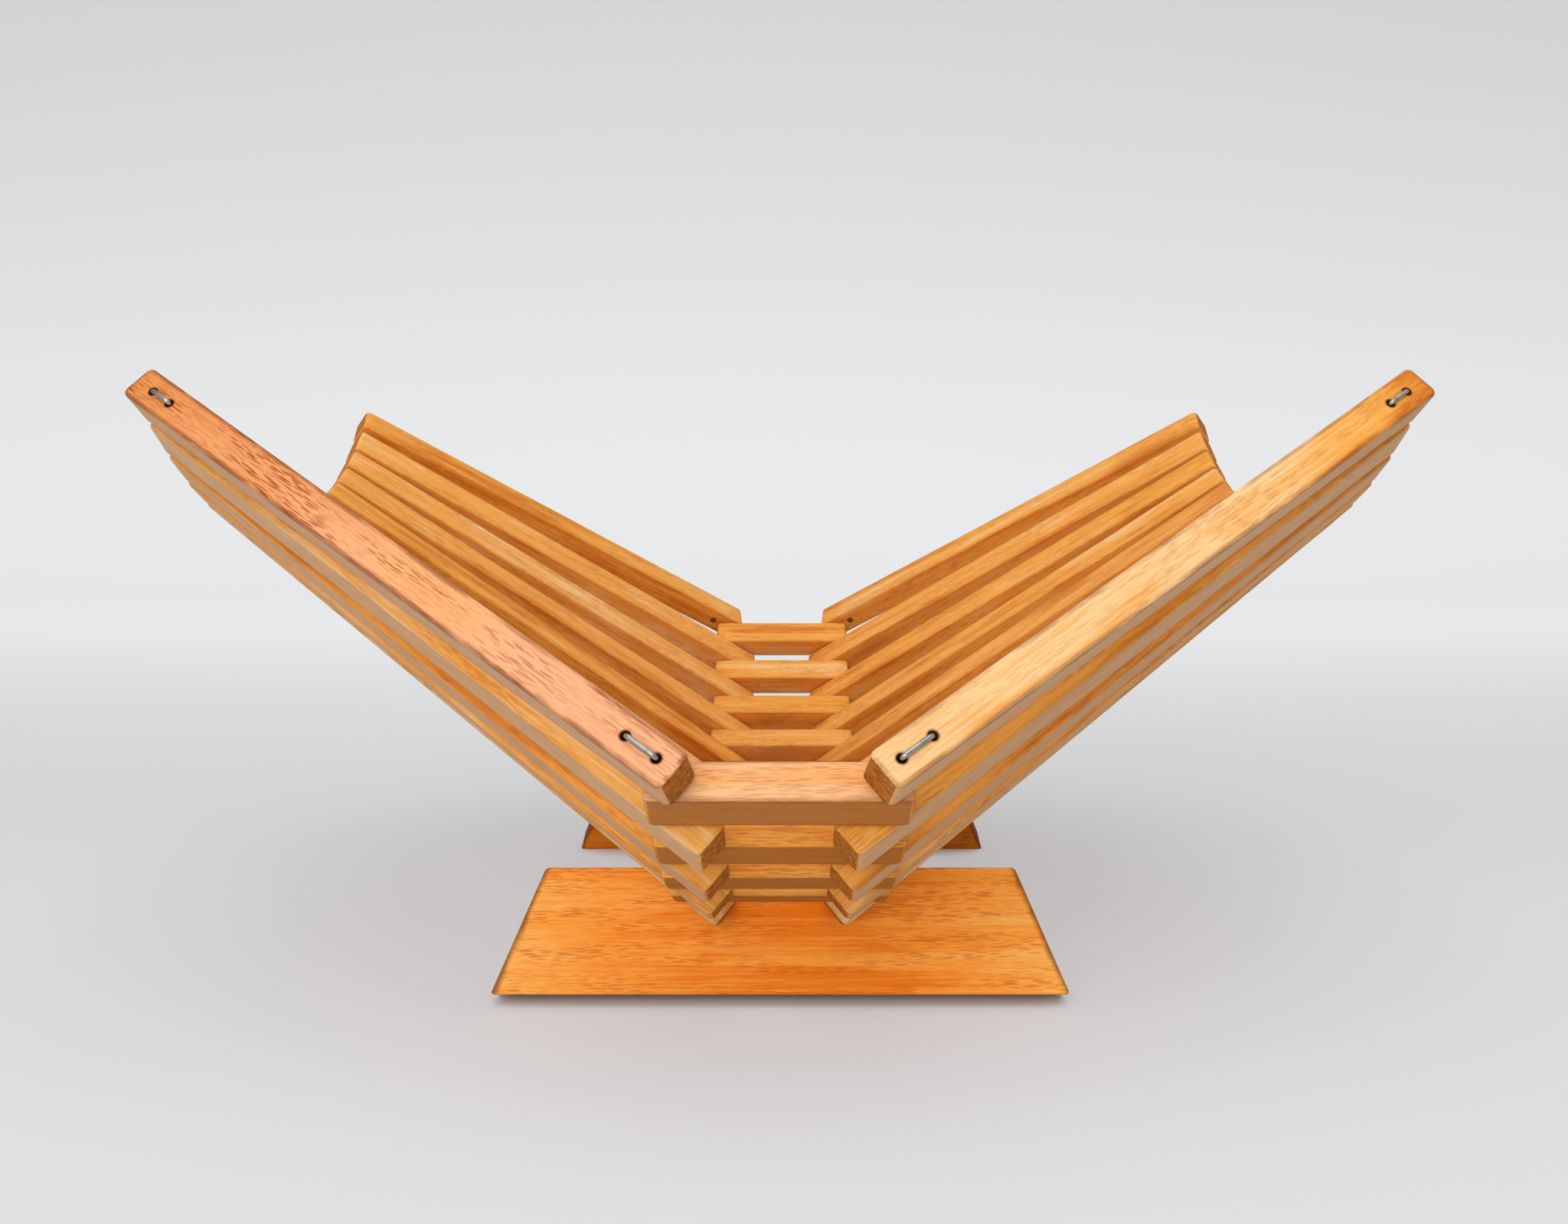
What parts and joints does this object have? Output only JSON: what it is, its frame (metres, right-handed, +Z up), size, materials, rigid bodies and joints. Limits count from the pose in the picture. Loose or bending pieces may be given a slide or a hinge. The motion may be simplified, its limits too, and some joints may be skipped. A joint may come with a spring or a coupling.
{
  "type": "folding slatted basket",
  "caption": "Folding basket of beech slats threaded on steel wires; the wing slats swing up flat and the fanned stack closes for storing.",
  "frame": {"origin": "on the floor, in the middle between the two foot plates", "axes": "+X from the left wings to the right wings, +Y from the front of the picture to its back, +Z up; stored open, standing on the foot plates"},
  "size_m": [0.3596, 0.3586, 0.1836],
  "materials": {
    "beech": "clear lacquered beech, honey orange, satin",
    "steel_wire": "dull drawn steel wire"
  },
  "bodies": {
    "cross_slat_08": {"cross_slat_08": "beech", "left_junction_wire": "steel_wire", "right_junction_wire": "steel_wire", "left_tip_wire": "steel_wire", "right_tip_wire": "steel_wire"},
    "cross_slat_07": {"cross_slat_07": "beech"},
    "cross_slat_06": {"cross_slat_06": "beech"},
    "front_foot_plate": {"front_foot_plate": "beech"},
    "cross_slat_04": {"cross_slat_04": "beech"},
    "cross_slat_03": {"cross_slat_03": "beech"},
    "cross_slat_02": {"cross_slat_02": "beech"},
    "cross_slat_01": {"cross_slat_01": "beech"},
    "right_wing_slat_08": {"right_wing_slat_08": "beech"},
    "left_wing_slat_08": {"left_wing_slat_08": "beech"},
    "right_wing_slat_07": {"right_wing_slat_07": "beech"},
    "left_wing_slat_07": {"left_wing_slat_07": "beech"},
    "right_wing_slat_06": {"right_wing_slat_06": "beech"},
    "left_wing_slat_06": {"left_wing_slat_06": "beech"},
    "right_wing_slat_05": {"right_wing_slat_05": "beech"},
    "left_wing_slat_05": {"left_wing_slat_05": "beech"},
    "right_wing_slat_04": {"right_wing_slat_04": "beech"},
    "left_wing_slat_04": {"left_wing_slat_04": "beech"},
    "right_wing_slat_03": {"right_wing_slat_03": "beech"},
    "left_wing_slat_03": {"left_wing_slat_03": "beech"},
    "right_wing_slat_02": {"right_wing_slat_02": "beech"},
    "left_wing_slat_02": {"left_wing_slat_02": "beech"},
    "right_wing_slat_01": {"right_wing_slat_01": "beech"},
    "left_wing_slat_01": {"left_wing_slat_01": "beech"},
    "cross_slat_09": {"cross_slat_09": "beech"},
    "cross_slat_10": {"cross_slat_10": "beech"},
    "back_foot_plate": {"back_foot_plate": "beech"},
    "cross_slat_12": {"cross_slat_12": "beech"},
    "cross_slat_13": {"cross_slat_13": "beech"},
    "cross_slat_14": {"cross_slat_14": "beech"},
    "cross_slat_15": {"cross_slat_15": "beech"},
    "right_wing_slat_09": {"right_wing_slat_09": "beech"},
    "left_wing_slat_09": {"left_wing_slat_09": "beech"},
    "right_wing_slat_10": {"right_wing_slat_10": "beech"},
    "left_wing_slat_10": {"left_wing_slat_10": "beech"},
    "right_wing_slat_11": {"right_wing_slat_11": "beech"},
    "left_wing_slat_11": {"left_wing_slat_11": "beech"},
    "right_wing_slat_12": {"right_wing_slat_12": "beech"},
    "left_wing_slat_12": {"left_wing_slat_12": "beech"},
    "right_wing_slat_13": {"right_wing_slat_13": "beech"},
    "left_wing_slat_13": {"left_wing_slat_13": "beech"},
    "right_wing_slat_14": {"right_wing_slat_14": "beech"},
    "left_wing_slat_14": {"left_wing_slat_14": "beech"},
    "right_wing_slat_15": {"right_wing_slat_15": "beech"},
    "left_wing_slat_15": {"left_wing_slat_15": "beech"},
    "right_wing_slat_16": {"right_wing_slat_16": "beech"},
    "left_wing_slat_16": {"left_wing_slat_16": "beech"}
  },
  "joints": [
    {"name": "front_fan_hinge_01", "type": "hinge", "parent": "cross_slat_08", "child": "cross_slat_07", "pos_m": [0, -0.01836, 0.0245], "axis": [1, 0, 0], "range_deg": [0, 6]},
    {"name": "front_fan_hinge_02", "type": "hinge", "parent": "cross_slat_07", "child": "cross_slat_06", "pos_m": [0, -0.0426, 0.02809], "axis": [1, 0, 0], "range_deg": [0, 4]},
    {"name": "front_fan_hinge_03", "type": "hinge", "parent": "cross_slat_06", "child": "front_foot_plate", "pos_m": [0, -0.06637, 0.03402], "axis": [1, 0, 0], "range_deg": [0, 4]},
    {"name": "front_fan_hinge_04", "type": "hinge", "parent": "front_foot_plate", "child": "cross_slat_04", "pos_m": [0, -0.08944, 0.04225], "axis": [1, 0, 0], "range_deg": [0, 4]},
    {"name": "front_fan_hinge_05", "type": "hinge", "parent": "cross_slat_04", "child": "cross_slat_03", "pos_m": [0, -0.11161, 0.05269], "axis": [1, 0, 0], "range_deg": [0, 4]},
    {"name": "front_fan_hinge_06", "type": "hinge", "parent": "cross_slat_03", "child": "cross_slat_02", "pos_m": [0, -0.13264, 0.06526], "axis": [1, 0, 0], "range_deg": [0, 4]},
    {"name": "front_fan_hinge_07", "type": "hinge", "parent": "cross_slat_02", "child": "cross_slat_01", "pos_m": [0, -0.15235, 0.07981], "axis": [1, 0, 0], "range_deg": [0, 4]},
    {"name": "right_wing_swing_08", "type": "hinge", "parent": "cross_slat_08", "child": "right_wing_slat_08", "pos_m": [0.0256, -0.00651, 0.01861], "axis": [0.0374, -0.9988, 0.0315], "range_deg": [0, 50.04]},
    {"name": "left_wing_swing_08", "type": "hinge", "parent": "cross_slat_08", "child": "left_wing_slat_08", "pos_m": [-0.0256, -0.00651, 0.01861], "axis": [0.0374, 0.9988, -0.0315], "range_deg": [0, 50.04]},
    {"name": "right_wing_swing_07", "type": "hinge", "parent": "cross_slat_07", "child": "right_wing_slat_07", "pos_m": [0.0256, -0.03138, 0.02107], "axis": [0, -0.9892, 0.1463], "range_deg": [0, 50], "deforming": ["left_junction_wire", "right_junction_wire", "left_tip_wire", "right_tip_wire"]},
    {"name": "left_wing_swing_07", "type": "hinge", "parent": "cross_slat_07", "child": "left_wing_slat_07", "pos_m": [-0.0256, -0.03138, 0.02107], "axis": [0, 0.9892, -0.1463], "range_deg": [0, 50]},
    {"name": "right_wing_swing_06", "type": "hinge", "parent": "cross_slat_06", "child": "right_wing_slat_06", "pos_m": [0.0256, -0.05589, 0.02594], "axis": [0, -0.9702, 0.2422], "range_deg": [0, 50]},
    {"name": "left_wing_swing_06", "type": "hinge", "parent": "cross_slat_06", "child": "left_wing_slat_06", "pos_m": [-0.0256, -0.05589, 0.02594], "axis": [0, 0.9702, -0.2422], "range_deg": [0, 50]},
    {"name": "right_wing_swing_05", "type": "hinge", "parent": "front_foot_plate", "child": "right_wing_slat_05", "pos_m": [0.0256, -0.0798, 0.03319], "axis": [0, -0.9419, 0.3359], "range_deg": [0, 50]},
    {"name": "left_wing_swing_05", "type": "hinge", "parent": "front_foot_plate", "child": "left_wing_slat_05", "pos_m": [-0.0256, -0.0798, 0.03319], "axis": [0, 0.9419, -0.3359], "range_deg": [0, 50]},
    {"name": "right_wing_swing_04", "type": "hinge", "parent": "cross_slat_04", "child": "right_wing_slat_04", "pos_m": [0.0256, -0.1029, 0.04273], "axis": [0, -0.9046, 0.4263], "range_deg": [0, 50]},
    {"name": "left_wing_swing_04", "type": "hinge", "parent": "cross_slat_04", "child": "left_wing_slat_04", "pos_m": [-0.0256, -0.1029, 0.04273], "axis": [0, 0.9046, -0.4263], "range_deg": [0, 50]},
    {"name": "right_wing_swing_03", "type": "hinge", "parent": "cross_slat_03", "child": "right_wing_slat_03", "pos_m": [0.0256, -0.12495, 0.05449], "axis": [0, -0.8586, 0.5127], "range_deg": [0, 50]},
    {"name": "left_wing_swing_03", "type": "hinge", "parent": "cross_slat_03", "child": "left_wing_slat_03", "pos_m": [-0.0256, -0.12495, 0.05449], "axis": [0, 0.8586, -0.5127], "range_deg": [0, 50]},
    {"name": "right_wing_swing_02", "type": "hinge", "parent": "cross_slat_02", "child": "right_wing_slat_02", "pos_m": [0.0256, -0.14574, 0.06835], "axis": [0, -0.8044, 0.5941], "range_deg": [0, 50]},
    {"name": "left_wing_swing_02", "type": "hinge", "parent": "cross_slat_02", "child": "left_wing_slat_02", "pos_m": [-0.0256, -0.14574, 0.06835], "axis": [0, 0.8044, -0.5941], "range_deg": [0, 50]},
    {"name": "right_wing_swing_01", "type": "hinge", "parent": "cross_slat_01", "child": "right_wing_slat_01", "pos_m": [0.0256, -0.16509, 0.08417], "axis": [0, -0.7425, 0.6699], "range_deg": [0, 50]},
    {"name": "left_wing_swing_01", "type": "hinge", "parent": "cross_slat_01", "child": "left_wing_slat_01", "pos_m": [-0.0256, -0.16509, 0.08417], "axis": [0, 0.7425, -0.6699], "range_deg": [0, 50]},
    {"name": "back_fan_hinge_01", "type": "hinge", "parent": "cross_slat_08", "child": "cross_slat_09", "pos_m": [0, 0.01836, 0.0245], "axis": [-1, 0, 0], "range_deg": [0, 6]},
    {"name": "back_fan_hinge_02", "type": "hinge", "parent": "cross_slat_09", "child": "cross_slat_10", "pos_m": [0, 0.0426, 0.02809], "axis": [-1, 0, 0], "range_deg": [0, 4]},
    {"name": "back_fan_hinge_03", "type": "hinge", "parent": "cross_slat_10", "child": "back_foot_plate", "pos_m": [0, 0.06637, 0.03402], "axis": [-1, 0, 0], "range_deg": [0, 4]},
    {"name": "back_fan_hinge_04", "type": "hinge", "parent": "back_foot_plate", "child": "cross_slat_12", "pos_m": [0, 0.08944, 0.04225], "axis": [-1, 0, 0], "range_deg": [0, 4]},
    {"name": "back_fan_hinge_05", "type": "hinge", "parent": "cross_slat_12", "child": "cross_slat_13", "pos_m": [0, 0.11161, 0.05269], "axis": [-1, 0, 0], "range_deg": [0, 4]},
    {"name": "back_fan_hinge_06", "type": "hinge", "parent": "cross_slat_13", "child": "cross_slat_14", "pos_m": [0, 0.13264, 0.06526], "axis": [-1, 0, 0], "range_deg": [0, 4]},
    {"name": "back_fan_hinge_07", "type": "hinge", "parent": "cross_slat_14", "child": "cross_slat_15", "pos_m": [0, 0.15235, 0.07981], "axis": [-1, 0, 0], "range_deg": [0, 4]},
    {"name": "right_wing_swing_09", "type": "hinge", "parent": "cross_slat_08", "child": "right_wing_slat_09", "pos_m": [0.0256, 0.00651, 0.01861], "axis": [-0.0374, -0.9988, -0.0315], "range_deg": [0, 50.04]},
    {"name": "left_wing_swing_09", "type": "hinge", "parent": "cross_slat_08", "child": "left_wing_slat_09", "pos_m": [-0.0256, 0.00651, 0.01861], "axis": [-0.0374, 0.9988, 0.0315], "range_deg": [0, 50.04]},
    {"name": "right_wing_swing_10", "type": "hinge", "parent": "cross_slat_09", "child": "right_wing_slat_10", "pos_m": [0.0256, 0.03138, 0.02107], "axis": [0, -0.9892, -0.1463], "range_deg": [0, 50]},
    {"name": "left_wing_swing_10", "type": "hinge", "parent": "cross_slat_09", "child": "left_wing_slat_10", "pos_m": [-0.0256, 0.03138, 0.02107], "axis": [0, 0.9892, 0.1463], "range_deg": [0, 50]},
    {"name": "right_wing_swing_11", "type": "hinge", "parent": "cross_slat_10", "child": "right_wing_slat_11", "pos_m": [0.0256, 0.05589, 0.02594], "axis": [0, -0.9702, -0.2422], "range_deg": [0, 50]},
    {"name": "left_wing_swing_11", "type": "hinge", "parent": "cross_slat_10", "child": "left_wing_slat_11", "pos_m": [-0.0256, 0.05589, 0.02594], "axis": [0, 0.9702, 0.2422], "range_deg": [0, 50]},
    {"name": "right_wing_swing_12", "type": "hinge", "parent": "back_foot_plate", "child": "right_wing_slat_12", "pos_m": [0.0256, 0.0798, 0.03319], "axis": [0, -0.9419, -0.3359], "range_deg": [0, 50]},
    {"name": "left_wing_swing_12", "type": "hinge", "parent": "back_foot_plate", "child": "left_wing_slat_12", "pos_m": [-0.0256, 0.0798, 0.03319], "axis": [0, 0.9419, 0.3359], "range_deg": [0, 50]},
    {"name": "right_wing_swing_13", "type": "hinge", "parent": "cross_slat_12", "child": "right_wing_slat_13", "pos_m": [0.0256, 0.1029, 0.04273], "axis": [0, -0.9046, -0.4263], "range_deg": [0, 50]},
    {"name": "left_wing_swing_13", "type": "hinge", "parent": "cross_slat_12", "child": "left_wing_slat_13", "pos_m": [-0.0256, 0.1029, 0.04273], "axis": [0, 0.9046, 0.4263], "range_deg": [0, 50]},
    {"name": "right_wing_swing_14", "type": "hinge", "parent": "cross_slat_13", "child": "right_wing_slat_14", "pos_m": [0.0256, 0.12495, 0.05449], "axis": [0, -0.8586, -0.5127], "range_deg": [0, 50]},
    {"name": "left_wing_swing_14", "type": "hinge", "parent": "cross_slat_13", "child": "left_wing_slat_14", "pos_m": [-0.0256, 0.12495, 0.05449], "axis": [0, 0.8586, 0.5127], "range_deg": [0, 50]},
    {"name": "right_wing_swing_15", "type": "hinge", "parent": "cross_slat_14", "child": "right_wing_slat_15", "pos_m": [0.0256, 0.14574, 0.06835], "axis": [0, -0.8044, -0.5941], "range_deg": [0, 50]},
    {"name": "left_wing_swing_15", "type": "hinge", "parent": "cross_slat_14", "child": "left_wing_slat_15", "pos_m": [-0.0256, 0.14574, 0.06835], "axis": [0, 0.8044, 0.5941], "range_deg": [0, 50]},
    {"name": "right_wing_swing_16", "type": "hinge", "parent": "cross_slat_15", "child": "right_wing_slat_16", "pos_m": [0.0256, 0.16509, 0.08417], "axis": [0, -0.7425, -0.6699], "range_deg": [0, 50]},
    {"name": "left_wing_swing_16", "type": "hinge", "parent": "cross_slat_15", "child": "left_wing_slat_16", "pos_m": [-0.0256, 0.16509, 0.08417], "axis": [0, 0.7425, 0.6699], "range_deg": [0, 50]}
  ],
  "couplings": [
    {"joint": "front_fan_hinge_01", "follows": "right_wing_swing_07", "ratio": 0.12},
    {"joint": "front_fan_hinge_02", "follows": "right_wing_swing_07", "ratio": 0.08},
    {"joint": "front_fan_hinge_03", "follows": "right_wing_swing_07", "ratio": 0.08},
    {"joint": "front_fan_hinge_04", "follows": "right_wing_swing_07", "ratio": 0.08},
    {"joint": "front_fan_hinge_05", "follows": "right_wing_swing_07", "ratio": 0.08},
    {"joint": "front_fan_hinge_06", "follows": "right_wing_swing_07", "ratio": 0.08},
    {"joint": "front_fan_hinge_07", "follows": "right_wing_swing_07", "ratio": 0.08},
    {"joint": "right_wing_swing_08", "follows": "right_wing_swing_07", "ratio": 1.0007},
    {"joint": "left_wing_swing_08", "follows": "right_wing_swing_07", "ratio": 1.0007},
    {"joint": "left_wing_swing_07", "follows": "right_wing_swing_07", "ratio": 1},
    {"joint": "right_wing_swing_06", "follows": "right_wing_swing_07", "ratio": 1},
    {"joint": "left_wing_swing_06", "follows": "right_wing_swing_07", "ratio": 1},
    {"joint": "right_wing_swing_05", "follows": "right_wing_swing_07", "ratio": 1},
    {"joint": "left_wing_swing_05", "follows": "right_wing_swing_07", "ratio": 1},
    {"joint": "right_wing_swing_04", "follows": "right_wing_swing_07", "ratio": 1},
    {"joint": "left_wing_swing_04", "follows": "right_wing_swing_07", "ratio": 1},
    {"joint": "right_wing_swing_03", "follows": "right_wing_swing_07", "ratio": 1},
    {"joint": "left_wing_swing_03", "follows": "right_wing_swing_07", "ratio": 1},
    {"joint": "right_wing_swing_02", "follows": "right_wing_swing_07", "ratio": 1},
    {"joint": "left_wing_swing_02", "follows": "right_wing_swing_07", "ratio": 1},
    {"joint": "right_wing_swing_01", "follows": "right_wing_swing_07", "ratio": 1},
    {"joint": "left_wing_swing_01", "follows": "right_wing_swing_07", "ratio": 1},
    {"joint": "back_fan_hinge_01", "follows": "right_wing_swing_07", "ratio": 0.12},
    {"joint": "back_fan_hinge_02", "follows": "right_wing_swing_07", "ratio": 0.08},
    {"joint": "back_fan_hinge_03", "follows": "right_wing_swing_07", "ratio": 0.08},
    {"joint": "back_fan_hinge_04", "follows": "right_wing_swing_07", "ratio": 0.08},
    {"joint": "back_fan_hinge_05", "follows": "right_wing_swing_07", "ratio": 0.08},
    {"joint": "back_fan_hinge_06", "follows": "right_wing_swing_07", "ratio": 0.08},
    {"joint": "back_fan_hinge_07", "follows": "right_wing_swing_07", "ratio": 0.08},
    {"joint": "right_wing_swing_09", "follows": "right_wing_swing_07", "ratio": 1.0007},
    {"joint": "left_wing_swing_09", "follows": "right_wing_swing_07", "ratio": 1.0007},
    {"joint": "right_wing_swing_10", "follows": "right_wing_swing_07", "ratio": 1},
    {"joint": "left_wing_swing_10", "follows": "right_wing_swing_07", "ratio": 1},
    {"joint": "right_wing_swing_11", "follows": "right_wing_swing_07", "ratio": 1},
    {"joint": "left_wing_swing_11", "follows": "right_wing_swing_07", "ratio": 1},
    {"joint": "right_wing_swing_12", "follows": "right_wing_swing_07", "ratio": 1},
    {"joint": "left_wing_swing_12", "follows": "right_wing_swing_07", "ratio": 1},
    {"joint": "right_wing_swing_13", "follows": "right_wing_swing_07", "ratio": 1},
    {"joint": "left_wing_swing_13", "follows": "right_wing_swing_07", "ratio": 1},
    {"joint": "right_wing_swing_14", "follows": "right_wing_swing_07", "ratio": 1},
    {"joint": "left_wing_swing_14", "follows": "right_wing_swing_07", "ratio": 1},
    {"joint": "right_wing_swing_15", "follows": "right_wing_swing_07", "ratio": 1},
    {"joint": "left_wing_swing_15", "follows": "right_wing_swing_07", "ratio": 1},
    {"joint": "right_wing_swing_16", "follows": "right_wing_swing_07", "ratio": 1},
    {"joint": "left_wing_swing_16", "follows": "right_wing_swing_07", "ratio": 1}
  ]
}
